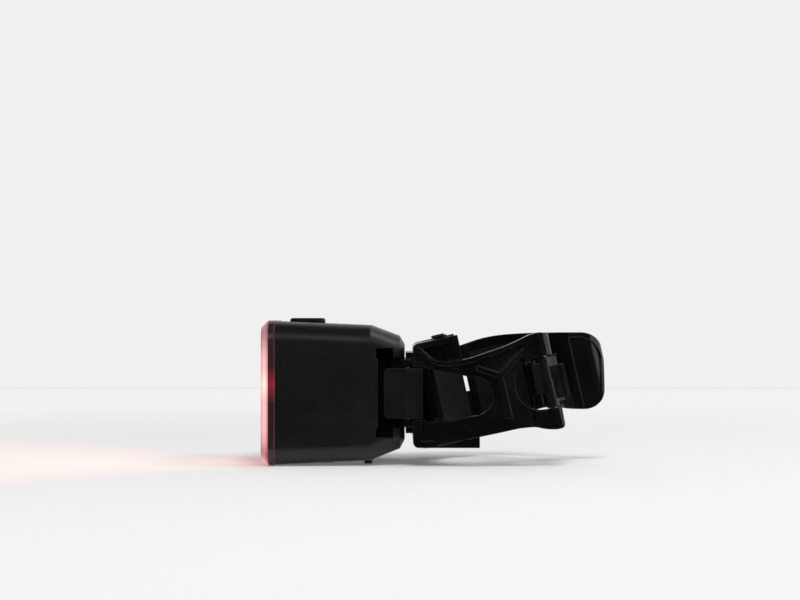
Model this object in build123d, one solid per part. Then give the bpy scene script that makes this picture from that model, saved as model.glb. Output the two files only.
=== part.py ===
"""Rechargeable bicycle rear light on a quick-release seat-post clamp.

The head is a tapered square housing with a lens in front and a T-slot across its back.
The bracket slides into that slot, is kept there by a sprung release tab, and carries a
clamp of two arms: one moulded with the bracket, one hinged, closed by a toothed tongue
under a latch.

Every piece is drawn about the head's own axis: x runs back from the lens, y runs away
from the side where the slot opens, z is up. The clamp's pieces are drawn about the
seat post's axis, which leans towards the lens, and are placed by clamp_frame.
"""
import os
from math import acos, cos, degrees, radians, sin, sqrt, tan

from build123d import *

# Head: lens, bezel, seal and housing
lens_size = 35.4
lens_edge_depth = 1.8
lens_edge_band = 0.2
lens_corner = 4.8
lens_wall = 1.5
spigot_depth = 1.6
spigot_wall = 1.3
bezel_depth = 1.4
bezel_wall = 2.2
seal_depth = 0.3
seal_inset = 0.35
rim_step = 0.2
side_draft = 1.0
shoulder_draft = 2.7
back_draft = 2.1
side_length = 23.1
taper_length = 7.2
rear_round_length = 1.2
head_corner = 4.4
housing_wall = 2.0
cavity_floor_wall = 1.6
fit_gap = 0.2

# T-slot across the housing's back and the rail that slides in it
slot_wall = 3.54
slot_neck_step = 2.4
slot_lip = 2.9
slot_depth = 3.6
slot_end_inset = 0.4
slot_corner_relief = 0.5
slot_corner_height = 2.5
rail_gap = 0.25
rail_setback = 1.6
rail_head_setback = 5.4
rail_core_wall = 1.8

# Power button and the switch under it
button_centre_x = 10.7
button_length = 8.6
button_width = 9.4
button_corner = 2.0
button_rise = 1.115
button_top_chamfer = 0.4
button_flange = 0.7
button_flange_thickness = 0.8
button_travel = 0.6
switch_height = 2.3
switch_width = 4.4
switch_depth = 3.0
plunger_radius = 0.9
plunger_gap = 0.05

# Circuit board, light sources and optic
board_front_x = 10.8
board_thickness = 1.2
board_side_gap = 0.3
boss_edge_y = 1.9
boss_edge_z = 1.5
boss_half_width = 1.8
screw_radius = 0.65
screw_head_radius = 1.4
screw_head_height = 0.8
screw_length = 5.0
screw_slot_width = 0.5
screw_slot_depth = 0.35
screw_facets = 8
emitter_size = 1.6
emitter_height = 0.7
optic_front_x = 3.8
optic_thickness = 1.3
optic_corner = 2.0
centre_cone_radius = 5.6
corner_cone_radius = 3.1
cone_tip_radius = 1.5
cone_offset_share = 0.2828
cone_tip_gap = 0.1
cone_facets = 12
chip_sizes = ((5.0, 5.0), (4.0, 3.0), (3.0, 3.0), (2.0, 1.2))
chip_centre_shares = ((-0.27, 0.12), (0.2, 0.16), (0.25, -0.2), (-0.05, -0.24))
chip_gap = 0.2

# Battery with its foam pad and leads
battery_front_gap = 0.8
foam_thickness = 1.5
battery_side_gap = 1.7
battery_boss_gap = 0.3
battery_edge = 2.5
lead_width = 2.0
lead_thickness = 0.3
lead_offset = 3.8
lead_rise = 1.2

# Charging socket and its cover
socket_width = 8.2
socket_depth = 3.0
socket_height = 5.2
socket_wall = 0.35
socket_floor_gap = 0.1
socket_tongue = 0.7
port_width = 8.6
port_depth = 3.4
cover_width = 12.4
cover_front_x = 10.6
cover_length = 6.8
cover_thickness = 1.0
cover_lift = 0.2
cover_bead_radius = 0.45
cover_plug_width = 7.4
cover_plug_depth = 2.2
cover_plug_height = 1.0

# Rest nubs under the head's rear edge
nub_radius = 1.0
nub_inset = 0.6
nub_offset = 6.5

# Clamp: the post, and the walls round it
post_radius = 15.9
post_lean = 12.5
pad_thickness = 1.15
bond_gap = 0.05
saddle_edge_share = 0.4
saddle_side_wall = 0.7
saddle_shell = 1.5
saddle_web = 1.35
saddle_recess = 1.6
saddle_top = 16.0
saddle_bottom_height = -13.25
saddle_rib = 1.6
saddle_corner = 1.4
cap_wall = 1.7
plate_gap = 2.0
plate_thickness = 2.0
plate_step_margin = 1.4
plate_step_near_reach = 0.2
plate_step_far_reach = 1.5
step_front_gap = 0.25
pad_top_inset = 0.8
pad_bottom = -9.8
pad_ear_angle = 123.0
pad_ear_sweep = 10.0
pad_ear_reach = 0.9
pad_ear_rise = 0.7
pad_ear_relief = 0.35

# Near arm, with its window, rib and fork
arm_wall = 2.3
arm_bottom = -9.3
arm_root_top = 15.2
arm_start_angle = -100.0
arm_flank_angle = 24.0
knuckle_flank_angle = 110.0
arm_end_corner = 1.0
window_top = 5.5
window_bottom = -4.1
window_end_x = -1.05
window_root_top = 9.8
window_root_bottom = -2.9
window_reach_y = -8.0
fork_half_height = 6.45
fork_depth = 8.15
rib_raise = 0.45
rib_width = 1.3
lip_width = 1.1
liner_start_angle = -94.0
liner_end_angle = -75.0
liner_half_height = 7.6

# Latch and its pin
latch_pin_angle = -51.8
latch_pin_radius = 0.8
latch_pin_inset = 0.4
knuckle_radius = 2.4
latch_hub_radius = 1.55
latch_hub_gap = 0.85
latch_slim_radius = 1.35
latch_split_height = 0.4
latch_side_gap = 0.25
latch_nose_top = 4.9
latch_nose_bottom = -2.4
latch_nose_lead = 8.7
latch_nose_lift = 0.25
latch_nose_thickness = 0.9
latch_finger_length = 4.5
latch_finger_thickness = 0.9
latch_finger_lip = 1.1
latch_finger_top = 3.7
latch_finger_bottom = -4.4
pin_press_gap = 0.02
pin_run_gap = 0.06

# Hinged arm, its tongue and its paddle
far_wall = 2.0
hinge_setback = 3.2
hinge_offset = 1.8
hinge_pin_radius = 0.9
hinge_knuckle_radius = 2.2
hinge_relief = 0.3
lug_bottom = 0.8
lug_top = 5.0
lug_gap = 0.2
far_arm_start_angle = 106.5
far_arm_end_angle = 15.0
leaf_web_end_angle = 95.0
far_arm_top = 12.6
far_arm_bottom = -9.5
web_gap = 0.3
paddle_length = 28.0
paddle_overreach = 0.38
paddle_turn_share = 0.364
paddle_curl_share = 0.327
paddle_curl_angle = 70.0
paddle_top = 14.7
paddle_top_corner = 6.0
paddle_bottom = -4.6
paddle_bottom_corner = 5.0
paddle_rim_width = 1.0
paddle_rim_raise = 0.4
far_liner_start_angle = 103.0
far_liner_end_angle = 48.0
far_liner_inset = 2.0
tongue_gap = 0.2
tongue_thickness = 1.5
tongue_half_height = 5.6
tongue_overlap_angle = 10.2
tongue_root_angle = 40.0
tooth_height = 0.6
tooth_pitch = 2.3
tooth_zone_start_angle = -18.0
tooth_fill_share = 0.9

# Release tab and its pin
tab_front_gap = 1.4
tab_pivot_offset = 0.7
tab_pivot_depth = 2.2
tab_overlap = 2.4
tab_face_inset = 0.3
tab_thumb_step = 0.3
tab_ridge_step = 0.7
tab_thickness = 1.4
tab_ridge_width = 0.8
tab_hub_radius = 1.1
tab_corner = 1.2
tab_nose_length = 1.1
tab_nose_reach = 1.3
tab_nose_height = 7.0
tab_pin_radius = 0.6
tab_side_gap = 0.3
tab_end_gap = 0.6
tab_lug_thickness = 1.85

# Side views of the two arms: places about the post's axis, as shares of the seat's radius
arm_top_shares = ((-0.899, 0.834), (-0.813, 0.699), (-0.658, 0.612), (-0.49, 0.584), (-0.289, 0.577),
                  (-0.051, 0.603), (0.247, 0.638), (0.49, 0.686), (0.643, 0.719), (0.787, 0.716),
                  (0.9, 0.665))
arm_bottom_shares = ((0.845, -0.672), (0.751, -0.677), (0.64, -0.66), (0.545, -0.632), (0.44, -0.587),
                     (0.272, -0.557))
far_top_shares = ((-0.33, 0.742), (-0.038, 0.772), (0.384, 0.758), (0.802, 0.693))
far_bottom_shares = ((0.69, -0.445), (0.35, -0.53))
rib_node_shares = (0.09, 0.242)
rib_end_shares = ((0.097, -0.376), (0.486, 0.511), (-0.208, 0.418))

# One overrun serves every cut that has to pass a face
overrun = 10.0

# Sizes of the housing, worked out from the lens
seal_size = lens_size - 2 * seal_inset
housing_front_size = lens_size - 2 * rim_step
crease_size = housing_front_size - 2 * side_draft
taper_end_size = crease_size - 2 * shoulder_draft
rear_face_size = taper_end_size - 2 * back_draft
cavity_size = crease_size - 2 * housing_wall

# Places along the head, worked out from the pieces in front of them
bezel_front_x = lens_edge_depth
seal_front_x = bezel_front_x + bezel_depth
housing_front_x = seal_front_x + seal_depth
crease_x = housing_front_x + side_length
taper_end_x = crease_x + taper_length
rear_x = taper_end_x + rear_round_length
slot_lip_x = rear_x - slot_lip
slot_front_x = slot_lip_x - slot_depth
cavity_end_x = slot_front_x - cavity_floor_wall
board_rear_x = board_front_x + board_thickness
plate_front_x = rear_x + plate_gap
nub_x = crease_x - nub_inset

# The button, the switch and the board, hung from the cavity's top wall
button_flange_length = button_length + 2 * (button_flange + fit_gap)
button_flange_width = button_width + 2 * (button_flange + fit_gap)
button_flange_top = cavity_size / 2 - fit_gap
button_flange_bottom = button_flange_top - button_flange_thickness
switch_top = button_flange_bottom - button_travel - 2 * fit_gap
switch_x = board_rear_x + switch_depth / 2
board_width = cavity_size - 2 * board_side_gap
board_top = switch_top
boss_offset_y = board_width / 2 - boss_edge_y
boss_offset_z = board_top - boss_edge_z
optic_size = cavity_size - 2 * fit_gap
cone_offset = cone_offset_share * cavity_size

# The cell, the socket and its cover
battery_front_x = board_rear_x + battery_front_gap
battery_rear_x = cavity_end_x - foam_thickness
battery_width = cavity_size - 2 * battery_side_gap
battery_top = boss_offset_z - boss_half_width - battery_boss_gap
socket_bottom = socket_floor_gap - cavity_size / 2
cover_bottom = cover_lift - lens_size / 2
cover_top = cover_bottom + cover_thickness

# Radii about the post
seat_radius = post_radius + pad_thickness
arm_inner_radius = seat_radius
arm_outer_radius = arm_inner_radius + arm_wall
far_outer_radius = arm_inner_radius + far_wall
shell_radius = seat_radius + saddle_shell
tongue_inner_radius = post_radius + tongue_gap
tongue_outer_radius = tongue_inner_radius + tongue_thickness
latch_axis_radius = tongue_outer_radius + tooth_height + latch_hub_radius + latch_hub_gap
far_middle_radius = arm_inner_radius + far_wall / 2

# Places about the post
latch_pin_x = latch_axis_radius * cos(radians(latch_pin_angle))
latch_pin_y = latch_axis_radius * sin(radians(latch_pin_angle))
latch_nose_angle = latch_pin_angle - latch_nose_lead
tongue_end_angle = latch_pin_angle - tongue_overlap_angle
fork_start_x = latch_pin_x - fork_depth
saddle_edge_x = -saddle_edge_share * post_radius
saddle_half_width = post_radius + saddle_side_wall
hinge_x = saddle_edge_x - hinge_setback
hinge_y = saddle_half_width + hinge_offset
post_x = plate_front_x + plate_thickness + seat_radius + saddle_web

# The release tab, hung on the rail's near end
tab_face_y = tab_face_inset - crease_size / 2
tab_thumb_y = tab_face_y - tab_thumb_step
tab_ridge_y = tab_face_y - tab_ridge_step
tab_pivot_y = tab_face_y + tab_pivot_depth
tab_recess_y = tab_pivot_y + tab_hub_radius
tab_front_x = slot_front_x + tab_front_gap
tab_pivot_x = rear_x + tab_pivot_offset
tab_end_x = plate_front_x + tab_overlap
rail_near_y = tab_pivot_y + rail_setback

lean = radians(post_lean)
paddle_tip_x = paddle_length / cos(lean) + paddle_overreach
paddle_spread = paddle_tip_x - far_middle_radius
paddle_turn_radius = paddle_turn_share * paddle_spread
paddle_curl_radius = paddle_curl_share * paddle_spread
clamp_frame = Location((post_x, 0, 0), (0, -post_lean, 0))


def clamp_point(x, z):
    """A point of the head's side view, as seen in the leaning frame of the clamp."""
    run = x - post_x
    return (run * cos(lean) + z * sin(lean), z * cos(lean) - run * sin(lean))


def polar(radius, angle):
    """A point at a radius and an angle in degrees about the post."""
    return (radius * cos(radians(angle)), radius * sin(radians(angle)))


def seat_places(shares):
    """Places of a side view about the post, from their shares of the seat's radius."""
    return [(seat_radius * x, seat_radius * z) for x, z in shares]


def rounded_slab(front, back, width, corner):
    """A square slab with rounded corners, across the head's axis."""
    section = Plane.YZ.offset(front) * RectangleRounded(width, width, corner)
    return extrude(section, back - front)


def block(x_range, y_range, z_range):
    """A box given by its lowest and highest place on each axis."""
    sizes = [high - low for low, high in (x_range, y_range, z_range)]
    middle = [(high + low) / 2 for low, high in (x_range, y_range, z_range)]
    return Pos(*middle) * Box(*sizes)


def post(x, y, bottom, top, radius):
    """An upright cylinder between two heights."""
    return Pos(x, y, (bottom + top) / 2) * Cylinder(radius, top - bottom)


def arc_band(centre, inner, outer, start, sweep):
    """A curved strip between two radii, as a flat face."""
    outside = CenterArc(centre, outer, start, sweep)
    inside = CenterArc(centre, inner, start, sweep)
    return make_face([outside, Line(outside @ 1, inside @ 1), inside, Line(inside @ 0, outside @ 0)])


def upright(face, bottom, top):
    """A flat face of the clamp's plan, drawn up between two heights."""
    return extrude(Pos(0, 0, bottom) * face, top - bottom)


def sideways(outline, near, far):
    """A side-view outline drawn through from one y to another."""
    face = Plane.XZ.offset(-near) * outline
    return extrude(face, -(far - near))


def taper_size(x):
    """The housing's outer size at a place along its long sides."""
    share = (x - housing_front_x) / side_length
    return housing_front_size + (crease_size - housing_front_size) * share


def shoulder_size(x):
    """The housing's outer size at a place along its tapered shoulders."""
    share = (x - crease_x) / taper_length
    return crease_size + (taper_end_size - crease_size) * share


button_top_height = taper_size(button_centre_x) / 2 + button_rise
slot_height = shoulder_size(slot_lip_x) - 2 * slot_wall
slot_neck_height = slot_height - 2 * slot_neck_step
slot_far_y = slot_height / 2 - slot_end_inset
tab_height = slot_neck_height - 2 * (rail_gap + tab_lug_thickness + tab_side_gap)


def lens_cover():
    plate = rounded_slab(0, lens_edge_depth, lens_size, lens_corner)
    shell = chamfer(plate.edges().group_by(Axis.X)[0], lens_edge_depth - lens_edge_band)
    spigot_size = lens_size - 2 * bezel_wall - fit_gap
    spigot_corner = lens_corner - bezel_wall
    spigot = rounded_slab(lens_edge_depth, lens_edge_depth + spigot_depth, spigot_size, spigot_corner)
    inner_size = spigot_size - 2 * spigot_wall
    hollow = rounded_slab(lens_wall, lens_edge_depth + overrun, inner_size, spigot_corner - spigot_wall)
    return shell + spigot - hollow


def lens_bezel():
    ring = rounded_slab(bezel_front_x, seal_front_x, lens_size, lens_corner)
    inner = lens_size - 2 * bezel_wall
    return ring - rounded_slab(bezel_front_x, seal_front_x, inner, lens_corner - bezel_wall)


def lens_seal():
    inner = lens_size - 2 * bezel_wall
    ring = rounded_slab(seal_front_x, housing_front_x, seal_size, lens_corner)
    return ring - rounded_slab(seal_front_x, housing_front_x, inner, lens_corner - bezel_wall)


def hull_walls(front, front_size, back, back_size):
    """Four flat sides and four round corners of the housing, between two places along it."""
    front_half, back_half = front_size / 2, back_size / 2
    front_flat, back_flat = front_half - head_corner, back_half - head_corner
    side = make_face(Polyline((front, -front_flat, front_half), (front, front_flat, front_half),
                              (back, back_flat, back_half), (back, -back_flat, back_half), close=True))
    arc = Plane.YZ.offset(front) * CenterArc((front_flat, front_flat), head_corner, 0, 90)
    run = Vector(back - front, back_flat - front_flat, back_flat - front_flat)
    bend = Face.extrude(arc.edges()[0], run)
    walls = []
    for turn in range(4):
        walls += (Rot(90 * turn, 0, 0) * side).faces()
        walls.append(Rot(90 * turn, 0, 0) * bend)
    return walls


def head_hull():
    """The housing's outer form: long sides, tapered shoulders and a rounded back."""
    walls = hull_walls(housing_front_x, housing_front_size, crease_x, crease_size)
    walls += hull_walls(crease_x, crease_size, taper_end_x, taper_end_size)
    walls += hull_walls(taper_end_x, taper_end_size, rear_x, rear_face_size)
    for place, size in ((housing_front_x, housing_front_size), (rear_x, rear_face_size)):
        walls += (Plane.YZ.offset(place) * RectangleRounded(size, size, head_corner)).faces()
    return Solid(Shell(walls))


def slot_void():
    """The T-shaped space that the rail slides through, open at the near side."""
    half, neck = slot_height / 2, slot_neck_height / 2
    near = -housing_front_size
    wide = block((slot_front_x, slot_lip_x), (near, slot_far_y), (-half, half))
    mouth = block((slot_lip_x, rear_x + overrun), (near, slot_far_y), (-neck, neck))
    void = wide + mouth
    for side in (1, -1):
        edge = side * half
        low, high = sorted((edge, edge - side * slot_corner_height))
        void += block((slot_front_x - slot_corner_relief, slot_front_x), (near, slot_far_y), (low, high))
    return void


def button_void():
    """The button's window in the top wall, and room for its flange below."""
    size = (button_length + 2 * fit_gap, button_width + 2 * fit_gap)
    window = Pos(button_centre_x, 0, button_flange_bottom) * RectangleRounded(*size, button_corner)
    return extrude(window, overrun)


def port_void():
    """The charging port through the floor, in a shallow recess for its cover."""
    port_x = board_rear_x + socket_depth / 2
    port = block((port_x - port_depth / 2, port_x + port_depth / 2),
                 (-port_width / 2, port_width / 2), (-housing_front_size, 0))
    recess_front = cover_front_x - fit_gap
    recess_half = cover_width / 2 + fit_gap
    recess = block((recess_front, cover_front_x + cover_length + fit_gap),
                   (-recess_half, recess_half), (-housing_front_size, cover_top))
    return port + recess


def boss_places():
    """The board's four screws, across the head's axis."""
    return [(y, z) for y in (-boss_offset_y, boss_offset_y) for z in (-boss_offset_z, boss_offset_z)]


def screw_bars(radius, front, back):
    """Four eight-sided bars along the head's axis, one at each corner of the board."""
    bars = Part()
    for y, z in boss_places():
        section = Plane.YZ.offset(front) * Pos(y, z) * RegularPolygon(radius, screw_facets)
        bars += extrude(section, back - front)
    return bars


def corner_posts():
    """Square posts that fill the cavity's corners behind the board."""
    posts = Part()
    for y, z in boss_places():
        y_ends = sorted((y - boss_half_width * y / abs(y), y / abs(y) * housing_front_size / 2))
        z_ends = sorted((z - boss_half_width * z / abs(z), z / abs(z) * housing_front_size / 2))
        posts += block((board_rear_x, cavity_end_x), y_ends, z_ends)
    return posts


def rest_nubs():
    """Two low feet under the rear edge, level with the lens rim."""
    nubs = Part()
    for y in (-nub_offset, nub_offset):
        nubs += post(nub_x, y, -lens_size / 2, -crease_size / 2 + nub_radius, nub_radius)
    return nubs


def housing():
    cavity = rounded_slab(housing_front_x, cavity_end_x, cavity_size, head_corner - housing_wall)
    pilots = screw_bars(screw_radius + pin_press_gap, board_rear_x, board_front_x + screw_length + fit_gap)
    shell = head_hull() + rest_nubs() - (cavity - corner_posts()) - pilots
    return shell - slot_void() - button_void() - port_void()


def cone(y, z, front_radius):
    """One collimator: a faceted cone that gathers an emitter's light into the front plate."""
    start_x = optic_front_x + optic_thickness
    tip_x = board_front_x - emitter_height - cone_tip_gap
    spokes = [polar(1, 360 / cone_facets * index) for index in range(cone_facets)]
    wide = [(start_x, y + front_radius * u, z + front_radius * v) for u, v in spokes]
    narrow = [(tip_x, y + cone_tip_radius * u, z + cone_tip_radius * v) for u, v in spokes]
    outlines = [wide, narrow]
    outlines += [(wide[index - 1], wide[index], narrow[index], narrow[index - 1]) for index in range(cone_facets)]
    faces = [make_face(Polyline(*outline, close=True)).face() for outline in outlines]
    return Solid(Shell(faces))


def emitter_places():
    """The centre of the optic and its four corner cones."""
    corners = [(y, z) for y in (-cone_offset, cone_offset) for z in (-cone_offset, cone_offset)]
    return [(0, 0)] + corners


def optic():
    plate = rounded_slab(optic_front_x, optic_front_x + optic_thickness, optic_size, optic_corner)
    for index, (y, z) in enumerate(emitter_places()):
        plate += cone(y, z, corner_cone_radius if index else centre_cone_radius)
    return plate


def emitters():
    half = emitter_size / 2
    front = board_front_x - emitter_height
    return Compound(children=[
        block((front, board_front_x), (y - half, y + half), (z - half, z + half))
        for y, z in emitter_places()])


def circuit_board():
    board = block((board_front_x, board_rear_x), (-board_width / 2, board_width / 2),
                  (-board_width / 2, board_top))
    low_corners = board.edges().filter_by(Axis.X).group_by(Axis.Z)[0]
    board = fillet(low_corners, head_corner - housing_wall)
    return board - screw_bars(screw_radius + fit_gap, board_front_x - overrun, board_rear_x)


def board_screws():
    """Four slotted hexagon screws that hold the board to the corner posts."""
    screws = []
    head_front = board_front_x - screw_head_height
    for y, z in boss_places():
        head = extrude(Plane.YZ.offset(head_front) * Pos(y, z) * RegularPolygon(screw_head_radius, 6),
                       screw_head_height)
        section = Plane.YZ.offset(board_front_x) * Pos(y, z) * RegularPolygon(screw_radius, screw_facets)
        shank = extrude(section, screw_length)
        slot = block((head_front, head_front + screw_slot_depth), (y - overrun, y + overrun),
                     (z - screw_slot_width / 2, z + screw_slot_width / 2))
        screws.append(head + shank - slot)
    return Compound(children=screws)


def board_chips():
    """Charger, driver, regulator and clock on the board's rear face, in front of the cell."""
    chips = []
    rear = board_rear_x + battery_front_gap - chip_gap
    for (width, height), (y_share, z_share) in zip(chip_sizes, chip_centre_shares):
        y, z = y_share * board_width, z_share * board_width
        chips.append(block((board_rear_x, rear), (y - width / 2, y + width / 2),
                           (z - height / 2, z + height / 2)))
    return Compound(children=chips)


def battery():
    cell = block((battery_front_x, battery_rear_x),
                 (-battery_width / 2, battery_width / 2), (-battery_top, battery_top))
    return fillet(cell.edges().filter_by(Axis.Z), battery_edge)


def battery_pad():
    half = battery_width / 2 - battery_edge
    return block((battery_rear_x, cavity_end_x), (-half, half),
                 (battery_edge - battery_top, battery_top - battery_edge))


def battery_leads():
    """Two flat strips from the top of the cell over to the board."""
    leads = []
    back = battery_front_x + battery_edge
    for y in (-lead_offset, lead_offset):
        sides = (y - lead_width / 2, y + lead_width / 2)
        riser = block((back - lead_thickness, back), sides, (battery_top, battery_top + lead_rise))
        run = block((board_rear_x, back), sides,
                    (battery_top + lead_rise - lead_thickness, battery_top + lead_rise))
        leads.append(riser + run)
    return Compound(children=leads)


def charging_socket():
    x_range = (board_rear_x, board_rear_x + socket_depth)
    half = socket_width / 2
    shell = block(x_range, (-half, half), (socket_bottom, socket_bottom + socket_height))
    shell = fillet(shell.edges().filter_by(Axis.Z), socket_depth / 4)
    inner_x = (x_range[0] + socket_wall, x_range[1] - socket_wall)
    inner_half = half - socket_wall
    mouth = block(inner_x, (-inner_half, inner_half),
                  (socket_bottom, socket_bottom + socket_height - socket_wall))
    middle = (x_range[0] + x_range[1]) / 2
    tongue = block((middle - socket_tongue / 2, middle + socket_tongue / 2),
                   (-inner_half + socket_tongue, inner_half - socket_tongue),
                   (socket_bottom + socket_tongue, socket_bottom + socket_height - socket_wall))
    return shell - mouth + tongue


def power_switch():
    case = block((board_rear_x, board_rear_x + switch_depth), (-switch_width / 2, switch_width / 2),
                 (switch_top - switch_height, switch_top))
    well_bottom = switch_top - button_travel - 2 * fit_gap
    return case - post(switch_x, 0, well_bottom, switch_top, plunger_radius + plunger_gap)


def switch_plunger():
    bottom = switch_top - fit_gap
    return post(switch_x, 0, bottom, button_flange_bottom, plunger_radius)


def button_cap():
    outline = RectangleRounded(button_length, button_width, button_corner)
    cap = extrude(Pos(button_centre_x, 0, button_flange_top) * outline, button_top_height - button_flange_top)
    top_edges = cap.edges().group_by(Axis.Z)[-1]
    cap = chamfer(top_edges, button_top_chamfer)
    flange_outline = RectangleRounded(button_flange_length, button_flange_width, button_corner)
    flange = extrude(Pos(button_centre_x, 0, button_flange_bottom) * flange_outline, button_flange_thickness)
    return cap + flange


def port_cover():
    """Rubber flap: a hinge bead along its front edge, a plate, and a plug for the port."""
    pivot_x, pivot_z = cover_pivot()
    half = cover_width / 2
    bead = Pos(pivot_x, 0, pivot_z) * Rot(90, 0, 0) * Cylinder(cover_bead_radius, cover_width)
    plate = block((pivot_x, cover_front_x + cover_length), (-half, half), (cover_bottom, cover_top))
    port_x = board_rear_x + socket_depth / 2
    plug = block((port_x - cover_plug_depth / 2, port_x + cover_plug_depth / 2),
                 (-cover_plug_width / 2, cover_plug_width / 2), (cover_top, cover_top + cover_plug_height))
    corner = plate.edges().filter_by(Axis.Z).group_by(Axis.X)[-1]
    return fillet(corner, cover_bead_radius * 2) + bead + plug


def cover_pivot():
    """The flap turns about its bead, which lies along its front edge."""
    return (cover_front_x + cover_bead_radius, (cover_top + cover_bottom) / 2)


def saddle_outline(inset=0):
    """The saddle block's side view in the clamp's frame, optionally inset for its core."""
    front = plate_front_x + (plate_thickness if inset else 0)
    top = saddle_top - inset
    bottom = saddle_bottom_height + inset
    edge = saddle_edge_x + (overrun if inset else 0)
    low_front = clamp_point(front, bottom)
    run = (front - post_x) / cos(lean)
    top_front = (run + top * tan(lean), top)
    low_edge_x = post_x + edge * cos(lean) - arm_bottom * sin(lean)
    return low_front, top_front, (edge, top), (edge, arm_bottom), clamp_point(low_edge_x, bottom)


def saddle_face(inset=0):
    face = make_face(Polyline(*saddle_outline(inset), close=True))
    if inset:
        return face
    corners = face.vertices().sort_by(Axis.X)[:2]
    return fillet(corners, saddle_corner)


def relief_round_hinge():
    """Room in the saddle for the hinged arm's two leaves."""
    radius = hinge_knuckle_radius + hinge_relief
    lower = post(hinge_x, hinge_y, far_arm_bottom - hinge_relief, lug_bottom, radius)
    upper = post(hinge_x, hinge_y, lug_top, far_arm_top + hinge_relief, radius)
    return lower + upper


def saddle():
    """Hollow block between the back plate and the curved seat for the post."""
    body = sideways(saddle_face(), -saddle_half_width, saddle_half_width)
    near_wall = saddle_recess - saddle_half_width
    core = sideways(saddle_face(cap_wall), near_wall + saddle_shell, saddle_half_width + overrun)
    core -= block((-4 * saddle_top, 0), (-saddle_rib / 2, saddle_rib / 2), (-4 * saddle_top, 4 * saddle_top))
    core += sideways(saddle_face(cap_wall), near_wall - overrun, near_wall)
    core -= upright(Circle(shell_radius), -4 * saddle_top, 4 * saddle_top)
    seat = upright(Circle(seat_radius), -4 * saddle_top, 4 * saddle_top)
    lug_foot_y = sqrt(shell_radius ** 2 - hinge_x ** 2) - saddle_shell
    lug = post(hinge_x, hinge_y, lug_bottom, lug_top, hinge_knuckle_radius)
    lug += block((hinge_x - hinge_knuckle_radius, hinge_x + hinge_knuckle_radius),
                 (lug_foot_y, hinge_y), (lug_bottom, lug_top))
    return body - core - relief_round_hinge() + lug - seat


def arm_plan(outer_radius):
    """Plan of the near arm: straight from the back plate, then round the post."""
    sweep_angle = latch_pin_angle - arm_start_angle
    arc = arc_band((0, 0), arm_inner_radius, outer_radius, arm_start_angle, sweep_angle)
    outer = Vector(*polar(outer_radius, arm_start_angle))
    inner = Vector(*polar(arm_inner_radius, arm_start_angle))
    back = Vector(*polar(post_x - plate_front_x + overrun, arm_start_angle - 90))
    return arc + make_face(Polyline(outer, outer + back, inner + back, inner, close=True))


def knuckle_plan():
    """Plan of the arm's end, which sweeps out to a round eye for the latch pin."""
    pin = Vector(latch_pin_x, latch_pin_y)
    start_angle = latch_pin_angle - arm_flank_angle
    flank_root = polar(arm_outer_radius - arm_wall / 2, start_angle)
    flank_start = polar(arm_outer_radius, start_angle)
    flank_end = pin + Vector(*polar(knuckle_radius, -knuckle_flank_angle))
    sweep_out = Spline(flank_start, flank_end,
                       tangents=(polar(1, start_angle + 90), polar(1, 90 - knuckle_flank_angle)))
    flank = make_face([sweep_out, Line(flank_end, pin), Line(pin, flank_root), Line(flank_root, flank_start)])
    return flank + Pos(latch_pin_x, latch_pin_y) * Circle(knuckle_radius)


def arm_outline():
    """Side view of the near arm: it swoops from the saddle's top, waists, and flares at the fork."""
    root_x = (plate_front_x - post_x) / cos(lean)
    root_low = clamp_point(plate_front_x, saddle_bottom_height + saddle_corner)
    root_foot = (clamp_point(plate_front_x, saddle_bottom_height)[0] + 2 * saddle_corner, arm_bottom)
    root_high = (root_x + arm_root_top * tan(lean), arm_root_top)
    top_places = seat_places(arm_top_shares)
    low_places = seat_places(arm_bottom_shares)
    waist = (fork_start_x - fork_depth / 2, arm_bottom)
    top_curve = Spline(root_high, *top_places)
    low_curve = Spline(*low_places, waist, tangents=((-1, 0), (-1, 0)))
    edges = [Line(root_low, root_high), top_curve, Line(top_places[-1], low_places[0]), low_curve,
             Line(waist, root_foot), Line(root_foot, root_low)]
    face = make_face(edges)
    ends = face.vertices().group_by(Axis.X)[-1] + face.vertices().sort_by_distance(low_places[0])[:1]
    return fillet(ends, arm_end_corner)


def window_void():
    """The long window through the near arm: wide at the back plate, with a round end."""
    half = (window_top - window_bottom) / 2
    centre_x = window_end_x - half
    middle = (window_top + window_bottom) / 2
    plate_x = clamp_point(plate_front_x + plate_thickness, 0)[0]
    outline = make_face(Polyline(
        (centre_x, window_top), (plate_x + window_root_top * tan(lean), window_root_top),
        (plate_x + window_root_bottom * tan(lean), window_root_bottom),
        ((plate_x + centre_x) / 2, window_bottom), (centre_x, window_bottom), close=True))
    outline += Pos(centre_x, middle) * Circle(half)
    return sideways(outline, -arm_outer_radius - overrun, window_reach_y)


def fork_void():
    """The gap between the fork's two prongs, round at its closed end."""
    centre_x = fork_start_x + fork_half_height
    near = -arm_outer_radius - overrun
    round_end = sideways(Pos(centre_x, 0) * Circle(fork_half_height), near, 0)
    return round_end + block((centre_x, centre_x + 3 * overrun), (near, 0),
                             (-fork_half_height, fork_half_height))


def arm_panel():
    """The sunken panels between the lip along the arm's top and its forked rib."""
    node = seat_places([rib_node_shares])[0]
    ribs = [Line(node, end) for end in seat_places(rib_end_shares)]
    drawing = Pos(0, -lip_width) * arm_outline() - trace(ribs, rib_width)
    skin = arm_plan(arm_outer_radius + rib_raise) - arm_plan(arm_outer_radius)
    return upright(skin, 2 * arm_bottom, 2 * arm_root_top) & sideways(drawing, -arm_outer_radius - overrun, 0)


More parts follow.
